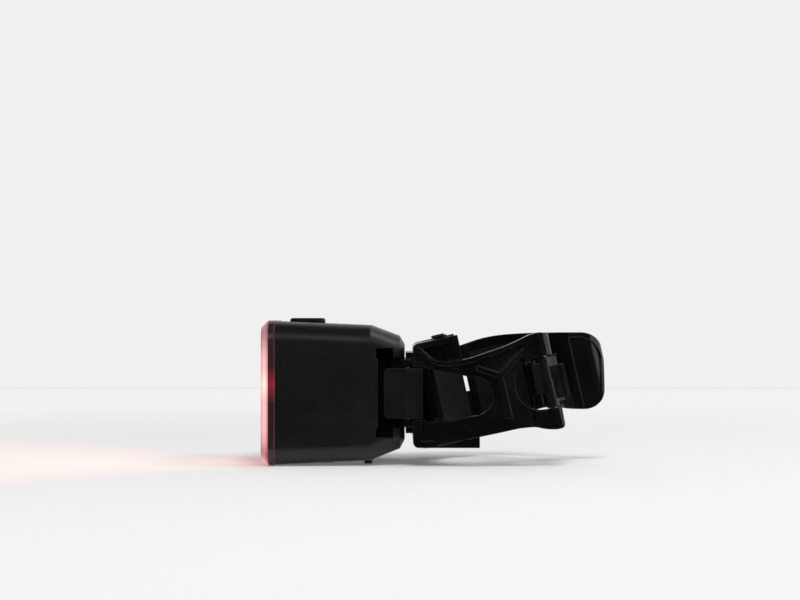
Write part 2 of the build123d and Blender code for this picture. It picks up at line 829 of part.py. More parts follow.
def near_arm():
    tall = upright(arm_plan(arm_outer_radius + rib_raise) + knuckle_plan(), 3 * arm_bottom, 2 * arm_root_top)
    outline = sideways(arm_outline(), -arm_outer_radius - overrun, 0)
    arm = (tall & outline) - arm_panel() - fork_void()
    return arm - post(latch_pin_x, latch_pin_y, 2 * arm_bottom, 2 * arm_root_top,
                      latch_pin_radius + pin_press_gap)


def rail():
    """T-rail, the step behind it and the two lugs that hold the tab's pin."""
    half, neck = slot_height / 2 - rail_gap, slot_neck_height / 2 - rail_gap
    far = slot_far_y - rail_gap
    head = block((slot_front_x + rail_gap, slot_lip_x - rail_gap),
                 (rail_near_y + rail_head_setback, far), (-half, half))
    stem = block((slot_lip_x - rail_gap, plate_front_x), (rail_near_y, far), (-neck, neck))
    core_half = neck - rail_core_wall
    stem -= block((slot_lip_x + rail_gap, plate_front_x - rail_core_wall / 2),
                  (rail_near_y + rail_head_setback, far), (-core_half, core_half))
    step_half = slot_neck_height / 2 + plate_step_margin
    step = block((rear_x + step_front_gap, plate_front_x),
                 (rail_near_y - plate_step_near_reach, slot_far_y + plate_step_far_reach),
                 (-step_half, step_half))
    step -= block((rear_x, plate_front_x - rail_core_wall / 2),
                  (rail_near_y + rail_head_setback, far), (-core_half, core_half))
    lug_low = tab_height / 2 + tab_side_gap
    lug_x = (tab_pivot_x - tab_hub_radius, plate_front_x)
    lug_y = (tab_pivot_y - tab_hub_radius, rail_near_y)
    lugs = block(lug_x, lug_y, (lug_low, lug_low + tab_lug_thickness))
    lugs += block(lug_x, lug_y, (-lug_low - tab_lug_thickness, -lug_low))
    return head + stem + step + lugs


def tab_recess():
    """Room in the rail, the plate and the arm's root for the release tab to rock."""
    half = tab_height / 2 + tab_side_gap
    return block((tab_pivot_x - tab_hub_radius - tab_side_gap, tab_end_x + tab_end_gap),
                 (-arm_outer_radius - overrun, tab_recess_y), (-half, half))


def bracket():
    """One moulding: rail, back plate, saddle and near arm."""
    clamp_side = saddle() + near_arm()
    clamp_side -= window_void()
    body = rail() + clamp_frame * clamp_side - tab_recess()
    lug_reach = tab_height / 2 + tab_side_gap + tab_lug_thickness
    body -= post(tab_pivot_x, tab_pivot_y, -lug_reach, lug_reach, tab_pin_radius + pin_press_gap)
    hinge_hole = post(hinge_x, hinge_y, lug_bottom, lug_top, hinge_pin_radius + pin_press_gap)
    return body - clamp_frame * hinge_hole


def liner(start, end, bottom, top):
    """A rubber lining on the inner side of a clamp wall."""
    return upright(arc_band((0, 0), post_radius, seat_radius - bond_gap, start, end - start), bottom, top)


def pad_ears(pad_top):
    """Two ears that hook the rubber seat over the saddle's top edge."""
    ears = Part()
    inner = post_radius + pad_ear_relief
    for side in (1, -1):
        start = side * (pad_ear_angle + pad_ear_sweep / 2) - pad_ear_sweep / 2
        web = arc_band((0, 0), inner, seat_radius - bond_gap, start, pad_ear_sweep)
        ears += upright(web, pad_top - pad_thickness, saddle_top + pad_ear_rise)
        hook = arc_band((0, 0), inner, seat_radius + pad_ear_reach, start, pad_ear_sweep)
        ears += upright(hook, saddle_top + bond_gap, saddle_top + pad_ear_rise)
    return ears


def saddle_pad():
    """Rubber seat for the post, cut round the window, with an ear over the saddle's top."""
    half_angle = degrees(acos(-saddle_edge_x / post_radius))
    top = saddle_top - pad_top_inset
    pad = liner(180 - half_angle, 180 + half_angle, pad_bottom, top) - window_void()
    return clamp_frame * (pad + pad_ears(top))


def near_arm_pad():
    return clamp_frame * liner(liner_start_angle, liner_end_angle, -liner_half_height, liner_half_height)


def clamp_arm_pad():
    return clamp_frame * liner(far_liner_end_angle, far_liner_start_angle,
                               far_arm_bottom + far_liner_inset, far_arm_top - far_liner_inset)


def paddle_plan():
    """Plan of the paddle: it turns out of the ring, runs straight and curls back."""
    half = far_wall / 2
    turn_centre = Vector(*polar(far_middle_radius + paddle_turn_radius, far_arm_end_angle))
    turn = arc_band((turn_centre.X, turn_centre.Y), paddle_turn_radius - half, paddle_turn_radius + half,
                    180 + far_arm_end_angle, 90 - far_arm_end_angle)
    low = turn_centre.Y - paddle_turn_radius
    curl_x = paddle_tip_x - (paddle_curl_radius + half) * sin(radians(paddle_curl_angle))
    flat = Pos((turn_centre.X + curl_x) / 2, low) * Rectangle(curl_x - turn_centre.X, far_wall)
    curl = arc_band((curl_x, low + paddle_curl_radius), paddle_curl_radius - half, paddle_curl_radius + half,
                    -90, paddle_curl_angle)
    return turn + flat + curl


def paddle_panel():
    """The sunken panel on the paddle's near side, inside the rim along its top and its edge."""
    curl_outer = paddle_curl_radius + far_wall / 2
    turn_centre = Vector(*polar(far_middle_radius + paddle_turn_radius, far_arm_end_angle))
    low = turn_centre.Y - paddle_turn_radius
    curl_x = paddle_tip_x - curl_outer * sin(radians(paddle_curl_angle))
    near = low - far_wall / 2
    strip = make_face(Polyline((turn_centre.X, near), (curl_x, near), (curl_x, near + paddle_rim_raise),
                               (turn_centre.X, near + paddle_rim_raise), close=True))
    strip += arc_band((curl_x, low + paddle_curl_radius), curl_outer - paddle_rim_raise, curl_outer,
                      -90, paddle_curl_angle)
    drawing = Pos(-paddle_rim_width, -paddle_rim_width) * far_arm_outline()
    return upright(strip, 2 * far_arm_bottom, 2 * far_arm_top) & sideways(drawing, -arm_outer_radius, seat_radius)


def far_arm_outline():
    """Side view of the hinged arm and its paddle, whose edges stand square to the head."""
    left = hinge_x - hinge_knuckle_radius
    edge_x = post_x + paddle_length
    high, low = clamp_point(edge_x, paddle_top), clamp_point(edge_x, paddle_bottom)
    level = (cos(lean), -sin(lean))
    top_end = clamp_point(edge_x - 3 * paddle_top_corner / 2, paddle_top)
    low_end = clamp_point(edge_x - 3 * paddle_bottom_corner / 2, paddle_bottom)
    low_places = [low_end, *seat_places(far_bottom_shares), (saddle_edge_x, far_arm_bottom)]
    top_curve = Spline((left, far_arm_top), *seat_places(far_top_shares), top_end,
                       tangents=((1, 0), level))
    low_curve = Spline(*low_places, tangents=((-cos(lean), sin(lean)), (-1, 0)))
    edges = [top_curve, Line(top_end, high), Line(high, low), Line(low, low_end), low_curve,
             Line(low_places[-1], (left, far_arm_bottom)), Line((left, far_arm_bottom), (left, far_arm_top))]
    face = make_face(edges)
    face = fillet(face.vertices().sort_by_distance(high)[:1], paddle_top_corner)
    return fillet(face.vertices().sort_by_distance(low)[:1], paddle_bottom_corner)


def hinge_leaves():
    """The arm's hinge knuckle and the web that joins it to the ring."""
    knuckle = Pos(hinge_x, hinge_y) * Circle(hinge_knuckle_radius)
    ring_outer = Vector(*polar(far_outer_radius, far_arm_start_angle))
    ring_inner = Vector(*polar(far_outer_radius, leaf_web_end_angle))
    web_low = saddle_half_width + web_gap
    web = make_face(Polyline((hinge_x, web_low), (hinge_x, hinge_y + hinge_knuckle_radius * cos(lean)),
                             (ring_inner.X, ring_inner.Y), (ring_outer.X + far_wall, web_low), close=True))
    leaf = upright(knuckle + web, far_arm_bottom, far_arm_top)
    gap = block((hinge_x - 2 * hinge_knuckle_radius, ring_outer.X),
                (0, hinge_y + overrun), (lug_bottom - lug_gap, lug_top + lug_gap))
    return leaf - gap


def tongue():
    """The strip that passes between the fork's prongs, with its saw teeth."""
    strip = arc_band((0, 0), tongue_inner_radius, tongue_outer_radius, tongue_end_angle,
                     tongue_root_angle - tongue_end_angle)
    step = degrees(tooth_pitch / tongue_outer_radius)
    count = int((tooth_zone_start_angle - tongue_end_angle) / step)
    base = tongue_outer_radius - tooth_height / 2
    for index in range(count):
        angle = tongue_end_angle + index * step
        tip_angle = angle + step * tooth_fill_share
        tooth = Polyline(polar(base, angle), polar(tongue_outer_radius + tooth_height, tip_angle),
                         polar(base, tip_angle), close=True)
        strip += make_face(tooth)
    return upright(strip, -tongue_half_height, tongue_half_height)


def clamp_arm():
    """Hinged arm with its paddle and its toothed tongue, one moulding."""
    ring = arc_band((0, 0), arm_inner_radius, far_outer_radius, far_arm_end_angle,
                    far_arm_start_angle - far_arm_end_angle)
    tall = upright(ring + paddle_plan(), 2 * far_arm_bottom, 2 * far_arm_top) + hinge_leaves()
    outline = sideways(far_arm_outline(), -arm_outer_radius, arm_outer_radius + overrun)
    arm = (tall & outline) - paddle_panel() + tongue()
    arm -= post(hinge_x, hinge_y, 2 * far_arm_bottom, 2 * far_arm_top, hinge_pin_radius + pin_run_gap)
    return clamp_frame * arm


def hinge_pin():
    bottom, top = far_arm_bottom + fit_gap, far_arm_top - fit_gap
    return clamp_frame * post(hinge_x, hinge_y, bottom, top, hinge_pin_radius)


def latch_nose():
    """Plan of the pawl's nose, from the barrel's post side to the tongue's teeth."""
    tip_radius = tongue_outer_radius + tooth_height + latch_nose_lift
    tip = polar(tip_radius, latch_nose_angle)
    back = polar(tip_radius + latch_nose_thickness, latch_nose_angle)
    return make_face(Polyline(tip, back, (latch_pin_x, latch_pin_y - latch_slim_radius / 2),
                              (latch_pin_x, latch_pin_y + latch_slim_radius), close=True))


def latch_finger():
    """Plan of the finger piece: a thin plate behind the barrel, with a lip at its end."""
    end = latch_pin_x + latch_finger_length
    lip_start = end - latch_finger_thickness
    front = latch_pin_y + pin_run_gap
    back = front + latch_finger_thickness
    return make_face(Polyline((latch_pin_x, front), (lip_start, front), (lip_start, front - latch_finger_lip),
                              (end, front - latch_finger_lip), (end, back), (latch_pin_x, back), close=True))


def latch():
    """Pawl on the latch pin: a split barrel, a nose over the teeth and a finger to lift it by."""
    top = fork_half_height - latch_side_gap
    body = post(latch_pin_x, latch_pin_y, -top, top, latch_slim_radius)
    body += post(latch_pin_x, latch_pin_y, -top, latch_split_height, latch_hub_radius)
    body += upright(latch_nose(), latch_nose_bottom, latch_nose_top)
    body += upright(latch_finger(), latch_finger_bottom, latch_finger_top)
    return clamp_frame * (body - post(latch_pin_x, latch_pin_y, -top, top, latch_pin_radius + pin_run_gap))


def latch_pin():
    high = seat_radius * arm_top_shares[-2][1] - latch_pin_inset
    low = seat_radius * arm_bottom_shares[1][1] + latch_pin_inset
    return clamp_frame * post(latch_pin_x, latch_pin_y, low, high, latch_pin_radius)


def release_tab():
    """Rocking tab: front plate with its catch, ridge over the pivot, thumb pad behind."""
    half = tab_height / 2
    face = make_face(Polyline((tab_front_x, tab_face_y), (tab_pivot_x - tab_ridge_width, tab_face_y),
                              (tab_pivot_x - tab_ridge_width, tab_ridge_y), (tab_pivot_x, tab_ridge_y),
                              (tab_pivot_x, tab_thumb_y), (tab_end_x, tab_thumb_y),
                              (tab_end_x, tab_thumb_y + tab_thickness),
                              (tab_pivot_x, tab_thumb_y + tab_thickness),
                              (tab_pivot_x - tab_ridge_width, tab_face_y + tab_thickness),
                              (tab_front_x, tab_face_y + tab_thickness), close=True))
    plate = upright(face, -half, half)
    front_corners = plate.edges().filter_by(Axis.Y).group_by(Axis.X)[0]
    plate = fillet(front_corners, tab_corner)
    hub_top = tab_thumb_y + tab_thickness
    hub = post(tab_pivot_x, tab_pivot_y, -half, half, tab_hub_radius)
    hub += block((tab_pivot_x - tab_hub_radius, tab_pivot_x + tab_hub_radius),
                 (hub_top - tab_thickness / 2, tab_pivot_y), (-half, half))
    nose_half = tab_nose_height / 2
    nose = block((tab_front_x, tab_front_x + tab_nose_length),
                 (tab_face_y + tab_thickness / 2, tab_face_y + tab_thickness + tab_nose_reach),
                 (-nose_half, nose_half))
    return plate + hub + nose - post(tab_pivot_x, tab_pivot_y, -half, half, tab_pin_radius + pin_run_gap)


def tab_pin():
    reach = tab_height / 2 + tab_side_gap + tab_lug_thickness - fit_gap
    return post(tab_pivot_x, tab_pivot_y, -reach, reach, tab_pin_radius)


pieces = (
    housing, lens_cover, lens_bezel, lens_seal, optic, emitters, circuit_board, board_chips,
    board_screws, battery, battery_pad, battery_leads, charging_socket, power_switch,
    switch_plunger, button_cap, port_cover, bracket, saddle_pad, near_arm_pad, tab_pin,
    release_tab, hinge_pin, clamp_arm, clamp_arm_pad, latch, latch_pin,
)

overall_length = post_x + paddle_length
far_side_y = hinge_y + hinge_knuckle_radius
near_side_y = -arm_outer_radius - rib_raise
placing = Location((-overall_length / 2, -(far_side_y + near_side_y) / 2, lens_size / 2))

if __name__ == "__main__":
    os.makedirs("parts", exist_ok=True)
    for make in pieces:
        solid = placing * make()
        solid.label = make.__name__
        export_step(solid, f"parts/{make.__name__}.step")
    print("overall length", round(overall_length, 2))
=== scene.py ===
"""Looks of a bicycle rear light with a quick-release seat-post clamp.

Lengths are metres in the frame's own axes: x runs back from the lens, y away from the side
where the bracket slides out, and z up from the surface that the light stands on.
"""
import math

import bmesh
import bpy
from mathutils import Matrix, Vector


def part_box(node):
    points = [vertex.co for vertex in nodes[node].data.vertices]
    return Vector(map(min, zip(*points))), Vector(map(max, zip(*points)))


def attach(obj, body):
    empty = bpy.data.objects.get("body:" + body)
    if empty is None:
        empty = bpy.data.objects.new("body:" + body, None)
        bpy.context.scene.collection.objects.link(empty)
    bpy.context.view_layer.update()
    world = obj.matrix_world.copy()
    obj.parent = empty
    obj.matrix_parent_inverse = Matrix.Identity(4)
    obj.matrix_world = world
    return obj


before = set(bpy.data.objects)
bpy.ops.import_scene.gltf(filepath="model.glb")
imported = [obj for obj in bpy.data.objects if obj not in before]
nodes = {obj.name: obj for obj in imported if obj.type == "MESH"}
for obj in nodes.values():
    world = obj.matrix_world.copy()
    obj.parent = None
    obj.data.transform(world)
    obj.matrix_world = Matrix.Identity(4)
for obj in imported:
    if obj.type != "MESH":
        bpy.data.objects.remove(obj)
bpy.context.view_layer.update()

mm = 0.001

# The photograph's view, from the height of the button's top
photo_width_px = 800
focal_px = 1940
horizon_px = 18
sensor_width = 36.0
camera_place = Vector((-8.87, -487.9, 36.0)) * mm

# Places on the lens that its glow follows
lens_low, lens_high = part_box("lens_cover")
lens_middle = (lens_low + lens_high) / 2
lens_front_x = lens_low.x
lens_half = (lens_high.z - lens_low.z) / 2
glow_z = lens_middle.z + 2.1 * mm
glow_top_z = lens_high.z - 2 * mm
grey_from_z = glow_z + 5 * mm
rim_line_x = lens_front_x + 0.85 * mm
rim_line_reach = 0.9 * mm
rim_reach = 9 * mm

# The five light sources: one in the middle and one towards each corner of the lens
source_size = 1.6 * mm
sources_low, sources_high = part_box("emitters")
source_reach = (sources_high.z - sources_low.z - source_size) / 2
sides = (-source_reach, source_reach)
sources = [(0.0, 0.0)] + [(y, z) for y in sides for z in sides]

# The prisms moulded on the inside of the lens
prism_rows = 13
prism_height = 0.8 * mm
prism_gap = 0.12 * mm
prism_base = 0.2 * mm
prism_margin = 0.7 * mm
prism_lead = 1.9 * mm

# Ends of a map that falls from 1 to 0 over its range
falling = {"To Min": 1.0, "To Max": 0.0}


def colour(code):
    """Linear colour of an sRGB hex value."""
    parts = [int(code[i:i + 2], 16) / 255 for i in (1, 3, 5)]
    return [p / 12.92 if p <= 0.04045 else ((p + 0.055) / 1.055) ** 2.4 for p in parts] + [1.0]


def add(tree, kind, inputs=None, stops=None, **settings):
    """One shader node with its settings, its inputs and any (position, hex value) stops of a ramp.

    An input is a value, a hex colour, a socket, or a node, which stands for its first output.
    """
    node = tree.nodes.new(kind)
    for name, value in settings.items():
        setattr(node, name, value)
    for name, value in (inputs or {}).items():
        if isinstance(value, bpy.types.Node):
            value = value.outputs[0]
        if isinstance(value, bpy.types.NodeSocket):
            tree.links.new(value, node.inputs[name])
        else:
            node.inputs[name].default_value = colour(value) if isinstance(value, str) else value
    if stops:
        elements = node.color_ramp.elements
        elements.remove(elements[1])
        elements[0].position = stops[0][0]
        elements[0].color = colour(stops[0][1])
        for position, code in stops[1:]:
            elements.new(position).color = colour(code)
    return node


def surface(name, base, roughness, **sockets):
    """A material with one Principled shader and the object's own coordinates."""
    material = bpy.data.materials.new(name)
    material.use_nodes = True
    tree = material.node_tree
    tree.nodes.clear()
    shader = add(tree, "ShaderNodeBsdfPrincipled", {"Base Color": base, "Roughness": roughness, **sockets})
    add(tree, "ShaderNodeOutputMaterial", {"Surface": shader})
    place = add(tree, "ShaderNodeTexCoord").outputs["Object"]
    return material, tree, shader, place


def grain(tree, shader, place, size, depth, detail=2.0, edge=0.0, stretch=(1.0, 1.0, 1.0)):
    """Relief of a given grain size, drawn out along an axis by stretch, over softened edges."""
    spread = add(tree, "ShaderNodeMapping", {"Vector": place, "Scale": stretch})
    noise = add(tree, "ShaderNodeTexNoise", {"Vector": spread, "Scale": 1 / size, "Detail": detail})
    bump = add(tree, "ShaderNodeBump", {"Height": noise, "Strength": 1.0, "Distance": depth})
    if edge:
        rounding = add(tree, "ShaderNodeBevel", {"Radius": edge}, samples=6)
        tree.links.new(rounding.outputs[0], bump.inputs["Normal"])
    tree.links.new(bump.outputs[0], shader.inputs["Normal"])


def pits(tree, shader, place, size, depth):
    """Rounded cells of a given size, pressed into what the surface's relief already holds."""
    cell = add(tree, "ShaderNodeTexVoronoi", {"Vector": place, "Scale": 1 / size}).outputs["Distance"]
    relief = shader.inputs["Normal"].links[0].from_socket
    bump = add(tree, "ShaderNodeBump", {"Height": cell, "Strength": 1.0, "Distance": depth, "Normal": relief})
    tree.links.new(bump.outputs[0], shader.inputs["Normal"])


def vary(tree, shader, place, size, low, high):
    """Roughness that drifts between two values over patches of a given size."""
    patch = add(tree, "ShaderNodeTexNoise", {"Vector": place, "Scale": 1 / size, "Detail": 4.0})
    spread = add(tree, "ShaderNodeMapRange",
                 {"Value": patch, "From Min": 0.3, "From Max": 0.7, "To Min": low, "To Max": high})
    tree.links.new(spread.outputs[0], shader.inputs["Roughness"])


def mottle(tree, shader, place, size, one, other):
    """Base colour that drifts between two shades over patches of a given size."""
    patch = add(tree, "ShaderNodeTexNoise", {"Vector": place, "Scale": 1 / size, "Detail": 3.0})
    shade = add(tree, "ShaderNodeValToRGB", {0: patch}, [(0.38, one), (0.62, other)])
    tree.links.new(shade.outputs[0], shader.inputs["Base Color"])


def along_rim(tree, place):
    """Distance along the lens's rim from the brightest place of its nearest side."""
    split = add(tree, "ShaderNodeSeparateXYZ", {0: place}).outputs
    from_middle = add(tree, "ShaderNodeMath", {0: split[1], 1: lens_middle.y}, operation="SUBTRACT")
    from_glow = add(tree, "ShaderNodeMath", {0: split[2], 1: glow_z}, operation="SUBTRACT")
    aside = add(tree, "ShaderNodeMath", {0: from_middle}, operation="ABSOLUTE")
    above = add(tree, "ShaderNodeMath", {0: from_glow}, operation="ABSOLUTE")
    return add(tree, "ShaderNodeMath", {0: aside, 1: above}, operation="MINIMUM")


def source_glow(tree, place, radius):
    """Soft round spots of light in front of the sources, the middle one the widest and strongest."""
    split = add(tree, "ShaderNodeSeparateXYZ", {0: place}).outputs
    flat = add(tree, "ShaderNodeCombineXYZ", {1: split[1], 2: split[2]})
    total = 0.0
    for index, (y, z) in enumerate(sources):
        centre = (0.0, lens_middle.y + y, lens_middle.z + z)
        reach, strength = (radius, 0.6) if index else (2 * radius, 1.0)
        gap = add(tree, "ShaderNodeVectorMath", {0: flat, 1: centre}, operation="DISTANCE").outputs["Value"]
        spot = add(tree, "ShaderNodeMapRange", {"Value": gap, "From Min": 0.0, "From Max": reach, **falling},
                   interpolation_type="SMOOTHERSTEP")
        light = add(tree, "ShaderNodeMath", {0: spot, 1: strength}, operation="MULTIPLY")
        total = add(tree, "ShaderNodeMath", {0: light, 1: total}, operation="ADD")
    return total


def spark_eroded_abs():
    """Black ABS from a spark-eroded tool: dry and dark, with a glitter where light grazes it.

    The grain is drawn at 0.3 mm, some three times its real size, so that it shows.
    """
    material, tree, shader, place = surface("spark_eroded_abs", "#0d0d0e", 0.4)
    mottle(tree, shader, place, 9 * mm, "#0c0c0d", "#101011")
    grain(tree, shader, place, 0.3 * mm, 0.03 * mm, detail=3.0, edge=0.35 * mm)
    vary(tree, shader, place, 4 * mm, 0.34, 0.44)
    return material


def polished_nylon():
    """Black nylon from a polished tool: deep and glossy, with a slow wave where it shrank."""
    material, tree, shader, place = surface("polished_nylon", "#0b0b0c", 0.24)
    mottle(tree, shader, place, 12 * mm, "#0a0a0b", "#0d0d0e")
    grain(tree, shader, place, 5 * mm, 0.12 * mm, detail=1.5, edge=0.4 * mm)
    vary(tree, shader, place, 5 * mm, 0.17, 0.3)
    return material


def satin_nylon(name, dark, light, low, high):
    """Nylon with a fine satin texture, on the pieces that fingers push and that rub.

    The texture is drawn at 0.25 mm, some three times its real size, so that it shows.
    """
    material, tree, shader, place = surface(name, dark, high)
    mottle(tree, shader, place, 6 * mm, dark, light)
    grain(tree, shader, place, 0.25 * mm, 0.008 * mm, edge=0.3 * mm)
    vary(tree, shader, place, 3 * mm, low, high)
    return material


def moulded_rubber(name, dark, light):
    """Silicone rubber: dull, a little dusty, with a soft sheen at grazing angles.

    The tool's grain is drawn at 0.25 mm, coarser than the real one, so that it shows.
    """
    dull = {"Specular IOR Level": 0.25, "Sheen Weight": 0.04}
    material, tree, shader, place = surface(name, dark, 0.72, **dull)
    mottle(tree, shader, place, 3 * mm, dark, light)
    grain(tree, shader, place, 0.25 * mm, 0.012 * mm, edge=0.3 * mm)
    vary(tree, shader, place, 2 * mm, 0.62, 0.8)
    return material


def ground_steel(name, along):
    """Steel ground or drawn to size: bright, with fine scratches that along draws out on an axis.

    The scratches are 0.4 mm apart, far coarser than real ones, so that they show.
    """
    material, tree, shader, place = surface(name, "#b9b9bb", 0.3, Metallic=1.0)
    mottle(tree, shader, place, 1.5 * mm, "#a9a9ac", "#c6c6c8")
    grain(tree, shader, place, 0.4 * mm, 0.01 * mm, edge=0.1 * mm, stretch=along)
    vary(tree, shader, place, 1 * mm, 0.22, 0.42)
    return material


def rim_light(tree, place):
    """Pale pink along the bevelled rim, greyer towards the top and weaker off the rim's bright line."""
    split = add(tree, "ShaderNodeSeparateXYZ", {0: place}).outputs
    reach = add(tree, "ShaderNodeMath", {0: along_rim(tree, place), 1: lens_half}, operation="DIVIDE")
    pink = add(tree, "ShaderNodeValToRGB", {0: reach},
               [(0.0, "#fff4ec"), (0.1, "#ffe6de"), (0.22, "#f8c4c1"), (0.6, "#f2bfc0"),
                (0.78, "#e2a4a8"), (1.0, "#84525a")])
    height = add(tree, "ShaderNodeMapRange",
                 {"Value": split[2], "From Min": grey_from_z, "From Max": glow_top_z},
                 interpolation_type="SMOOTHSTEP")
    greyed = add(tree, "ShaderNodeMix", {0: height, 6: pink, 7: "#b0a9b0"},
                 data_type="RGBA", blend_type="MULTIPLY").outputs[2]
    behind = add(tree, "ShaderNodeMath", {0: split[0], 1: rim_line_x}, operation="SUBTRACT")
    off_line = add(tree, "ShaderNodeMath", {0: behind}, operation="ABSOLUTE")
    share = add(tree, "ShaderNodeMath", {0: off_line, 1: rim_line_reach}, operation="DIVIDE")
    edge_tone = add(tree, "ShaderNodeValToRGB", {0: share},
                    [(0.0, "#ffffff"), (0.5, "#f4e2e0"), (1.0, "#d9b9b6")])
    return add(tree, "ShaderNodeMix", {0: 1.0, 6: greyed, 7: edge_tone},
               data_type="RGBA", blend_type="MULTIPLY").outputs[2]


def lit_polycarbonate():
    """Red polycarbonate, moulded to a polish and lit from behind.

    Its bevelled rim gathers the light into a pale pink line, brightest beside the middle source.
    Its face is deep red, with a spot in front of each source; its sides get a dark base colour as painted
    shade.
    """
    material, tree, shader, place = surface("lit_polycarbonate", "#b8141a", 0.08, IOR=1.58)
    shader.inputs["Transmission Weight"].default_value = 0.8
    grain(tree, shader, place, 6 * mm, 0.02 * mm, detail=1.0, edge=0.15 * mm)
    vary(tree, shader, place, 5 * mm, 0.05, 0.12)
    face = add(tree, "ShaderNodeValToRGB", {0: source_glow(tree, place, 3.4 * mm)},
               [(0.0, "#5c0a0c"), (0.3, "#b8181a"), (0.62, "#ff5a4c"), (1.0, "#fff0e4")])
    normal = add(tree, "ShaderNodeTexCoord").outputs["Normal"]
    forward = add(tree, "ShaderNodeSeparateXYZ", {0: normal})
    frontal = add(tree, "ShaderNodeMath", {0: forward}, operation="ABSOLUTE")
    to_front = add(tree, "ShaderNodeMapRange", {"Value": frontal, "From Min": 0.8, "From Max": 0.97})
    light = add(tree, "ShaderNodeMix", {0: to_front, 6: rim_light(tree, place), 7: face}, data_type="RGBA")
    # Base colour painted dark on the side faces and red on the front: painted shade on the lens's sides.
    base = add(tree, "ShaderNodeMix", {0: to_front, 6: "#2e1114", 7: "#c4141a"}, data_type="RGBA")
    tree.links.new(light.outputs[2], shader.inputs["Emission Color"])
    tree.links.new(base.outputs[2], shader.inputs["Base Color"])
    shader.inputs["Emission Strength"].default_value = 1.0
    return material


def lit_from_lens(name, base, roughness, near, far):
    """Dark plastic beside the lens that carries a little of its red light round the head."""
    material, tree, shader, place = surface(name, base, roughness)
    share = add(tree, "ShaderNodeMath", {0: along_rim(tree, place), 1: rim_reach}, operation="DIVIDE")
    shade = add(tree, "ShaderNodeValToRGB", {0: share}, [(0.0, near), (0.5, far)])
    tree.links.new(shade.outputs[0], shader.inputs["Emission Color"])
    shader.inputs["Emission Strength"].default_value = 0.55
    grain(tree, shader, place, 0.8 * mm, 0.008 * mm, edge=0.3 * mm)
    vary(tree, shader, place, 3 * mm, roughness - 0.05, roughness + 0.08)
    return material


def clear_acrylic():
    """Clear acrylic collimators, polished in the tool, each filled with its source's light."""
    material, tree, shader, place = surface("clear_acrylic", "#fff4f2", 0.03, IOR=1.49)
    shader.inputs["Transmission Weight"].default_value = 0.9
    grain(tree, shader, place, 3 * mm, 0.015 * mm, detail=1.0)
    vary(tree, shader, place, 4 * mm, 0.02, 0.08)
    shade = add(tree, "ShaderNodeValToRGB", {0: source_glow(tree, place, 4 * mm)},
                [(0.0, "#2a0606"), (0.4, "#c0302c"), (1.0, "#ffd9cc")])
    tree.links.new(shade.outputs[0], shader.inputs["Emission Color"])
    shader.inputs["Emission Strength"].default_value = 1.2
    return material


def prism_polycarbonate():
    """The same red polycarbonate inside the lens, where each prism's faces throw the light about."""
    material, tree, shader, place = surface("prism_polycarbonate", "#e0242a", 0.05, IOR=1.58)
    shader.inputs["Transmission Weight"].default_value = 0.7
    grain(tree, shader, place, 4 * mm, 0.01 * mm, detail=1.0)
    vary(tree, shader, place, 4 * mm, 0.03, 0.08)
    shade = add(tree, "ShaderNodeValToRGB", {0: source_glow(tree, place, 4 * mm)},
                [(0.0, "#3a0607"), (0.35, "#a81a1a"), (1.0, "#ff9c86")])
    tree.links.new(shade.outputs[0], shader.inputs["Emission Color"])
    shader.inputs["Emission Strength"].default_value = 0.8
    return material


def lit_phosphor():
    """Silicone lens over each chip of the light, glowing red through its fine grain."""
    material, tree, shader, place = surface("lit_phosphor", "#ffd8b0", 0.35)
    mottle(tree, shader, place, 0.3 * mm, "#ffcf9c", "#ffe2c4")
    grain(tree, shader, place, 0.2 * mm, 0.01 * mm)
    shader.inputs["Emission Color"].default_value = colour("#ff6a50")
    shader.inputs["Emission Strength"].default_value = 6.0
    return material


def board_mask():
    """Green epoxy mask over copper tracks on glass laminate: glossy, with the tracks standing up."""
    tile = 4 * mm
    material, tree, shader, place = surface("board_mask", "#145230", 0.3, **{"Coat Weight": 0.3})
    turned = add(tree, "ShaderNodeMapping", {"Vector": place, "Rotation": (0.0, math.pi / 2, 0.0)})
    tracks = add(tree, "ShaderNodeTexBrick",
                 {"Vector": turned, "Color1": "#124a2b", "Color2": "#17603a", "Mortar": "#2c7c4a",
                  "Scale": 1 / tile, "Mortar Size": 0.04, "Brick Width": 0.9, "Row Height": 0.3},
                 offset=0.37).outputs
    tree.links.new(tracks["Color"], shader.inputs["Base Color"])
    raised = add(tree, "ShaderNodeBump", {"Height": tracks["Fac"], "Distance": 0.04 * mm})
    tree.links.new(raised.outputs[0], shader.inputs["Normal"])
    vary(tree, shader, place, 2 * mm, 0.22, 0.38)
    return material


def moulded_epoxy(name, dark, light):
    """Black epoxy or glass-filled nylon round a component: matt, with pale flecks of filler.

    The flecks are drawn at 0.35 mm, coarser than real filler, so that they show.
    """
    material, tree, shader, place = surface(name, dark, 0.55)
    mottle(tree, shader, place, 0.35 * mm, dark, light)
    grain(tree, shader, place, 0.12 * mm, 0.01 * mm, edge=0.08 * mm)
    vary(tree, shader, place, 1 * mm, 0.45, 0.65)
    return material


def laminate_pouch():
    """Aluminium laminate drawn over a lithium cell: silvery, with soft crinkles and fine press marks."""
    material, tree, shader, place = surface("laminate_pouch", "#b4b6ba", 0.35, Metallic=0.85)
    mottle(tree, shader, place, 5 * mm, "#a9abb0", "#bfc1c5")
    grain(tree, shader, place, 2.5 * mm, 0.12 * mm, detail=3.0, edge=0.4 * mm)
    pits(tree, shader, place, 0.5 * mm, 0.012 * mm)
    vary(tree, shader, place, 2 * mm, 0.28, 0.44)
    return material


def open_foam():
    """Grey open-cell foam cut from sheet: dull, and pitted all over by its cells."""
    material, tree, shader, place = surface("open_foam", "#47474a", 0.95)
    mottle(tree, shader, place, 0.8 * mm, "#3c3c3f", "#525255")
    grain(tree, shader, place, 0.2 * mm, 0.03 * mm)
    pits(tree, shader, place, 0.45 * mm, 0.2 * mm)
    return material


